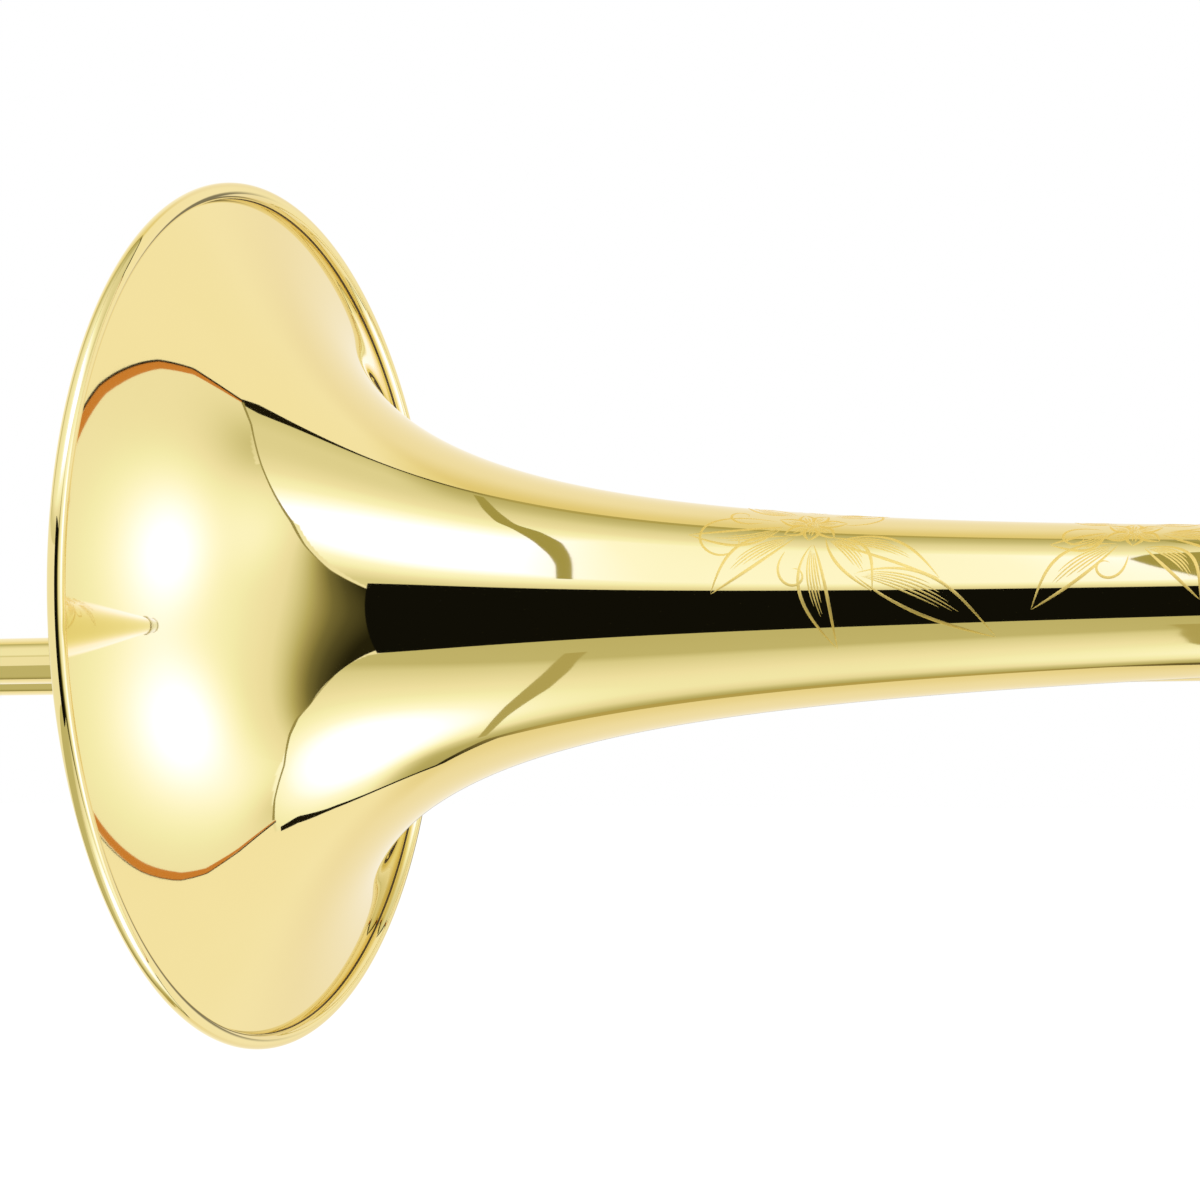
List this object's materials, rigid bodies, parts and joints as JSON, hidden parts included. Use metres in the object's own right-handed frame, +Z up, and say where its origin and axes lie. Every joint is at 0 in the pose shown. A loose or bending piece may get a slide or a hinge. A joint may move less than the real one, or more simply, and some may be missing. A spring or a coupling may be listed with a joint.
{
  "type": "tenor trombone",
  "caption": "Tenor trombone with a flared bell, hand slide with lock and water key, main tuning slide and mouthpiece, slide closed.",
  "frame": {"origin": "on the axis of the neckpipe and lower slide tube, at the face where the slide section seats against the neckpipe receiver, beside the left hand's grip", "axes": "+X from the bell's mouth towards the player, +Z up with the bell section lying level, the bell's axis on the -Y side"},
  "size_m": [1.1323, 0.3358, 0.203],
  "materials": {
    "lacquered_brass": "polished, clear lacquer",
    "nickel_silver": "polished",
    "chrome_plate": "polished",
    "silver_plate": "polished silver plate",
    "cork": "matt cork",
    "rubber": "matt",
    "steel": "bright drawn wire"
  },
  "bodies": {
    "bell_section": {"bell": "lacquered_brass", "rim_wire": "lacquered_brass", "bell_ferrule": "nickel_silver", "bell_tuning_sleeve": "nickel_silver", "neck_tuning_sleeve": "nickel_silver", "neck_ferrule": "nickel_silver", "neckpipe": "lacquered_brass", "neckpipe_receiver": "nickel_silver", "front_brace_rod": "lacquered_brass", "front_brace_flange_bell": "lacquered_brass", "front_brace_flange_neck": "lacquered_brass", "rear_brace_rod": "lacquered_brass", "rear_brace_flange_bell": "lacquered_brass", "rear_brace_flange_neck": "lacquered_brass"},
    "tuning_slide": {"tuning_bow": "lacquered_brass", "tuning_leg_neck": "nickel_silver", "tuning_leg_bell": "nickel_silver", "tuning_bow_ferrule_neck": "nickel_silver", "tuning_bow_ferrule_bell": "nickel_silver", "tuning_brace_rod": "lacquered_brass", "tuning_brace_flange_neck": "lacquered_brass", "tuning_brace_flange_bell": "lacquered_brass"},
    "inner_slide": {"inner_tube_lower": "chrome_plate", "inner_tube_upper": "chrome_plate", "cork_barrel_lower": "nickel_silver", "cork_barrel_upper": "nickel_silver", "barrel_cork_lower": "cork", "barrel_cork_upper": "cork", "inner_brace_rod": "lacquered_brass", "inner_brace_flange_lower": "lacquered_brass", "inner_brace_flange_upper": "lacquered_brass", "slide_tenon": "nickel_silver", "mouthpiece_receiver": "nickel_silver", "leadpipe": "lacquered_brass"},
    "bell_lock": {"bell_lock_nut": "nickel_silver"},
    "slide_lock": {"slide_lock_ring": "nickel_silver"},
    "outer_slide": {"outer_tube_lower": "lacquered_brass", "outer_tube_upper": "lacquered_brass", "top_ring_lower": "nickel_silver", "top_ring_upper": "nickel_silver", "hand_brace_rod": "lacquered_brass", "hand_brace_flange_lower": "lacquered_brass", "hand_brace_flange_upper": "lacquered_brass", "slide_bow": "lacquered_brass", "slide_bow_ferrule_lower": "nickel_silver", "slide_bow_ferrule_upper": "nickel_silver", "bow_guard": "nickel_silver", "bumper": "rubber", "water_key_nipple": "nickel_silver", "water_key_saddle": "nickel_silver", "water_key_hinge_rod": "steel", "water_key_spring": "steel"},
    "water_key": {"water_key_lever": "nickel_silver", "water_key_cork": "cork"},
    "mouthpiece": {"mouthpiece": "silver_plate"}
  },
  "joints": [
    {"name": "bell_swivel", "type": "hinge", "parent": "bell_section", "child": "inner_slide", "pos_m": [0, 0, 0], "axis": [1, 0, 0], "range_deg": [-110, 110]},
    {"name": "bell_lock_turn", "type": "hinge", "parent": "inner_slide", "child": "bell_lock", "pos_m": [0, 0, 0], "axis": [1, 0, 0], "continuous": true},
    {"name": "slide_lock_turn", "type": "hinge", "parent": "inner_slide", "child": "slide_lock", "pos_m": [-0.054, 0, 0], "axis": [1, 0, 0], "range_deg": [0, 28]},
    {"name": "hand_slide", "type": "slide", "parent": "inner_slide", "child": "outer_slide", "axis": [-1, 0, 0], "range_m": [0, 0.6]},
    {"name": "tuning_slide_pull", "type": "slide", "parent": "bell_section", "child": "tuning_slide", "axis": [1, 0, 0], "range_m": [0, 0.06]},
    {"name": "water_key_press", "type": "hinge", "parent": "outer_slide", "child": "water_key", "pos_m": [-0.699, -0.0134, 0], "axis": [0, 0, 1], "range_deg": [0, 20], "stiffness_Nm_per_rad": 0.06, "springref_deg": -20.05, "deforming": ["water_key_spring"]},
    {"name": "mouthpiece_pull", "type": "slide", "parent": "inner_slide", "child": "mouthpiece", "axis": [1, 0, 0], "range_m": [0, 0.03]}
  ]
}
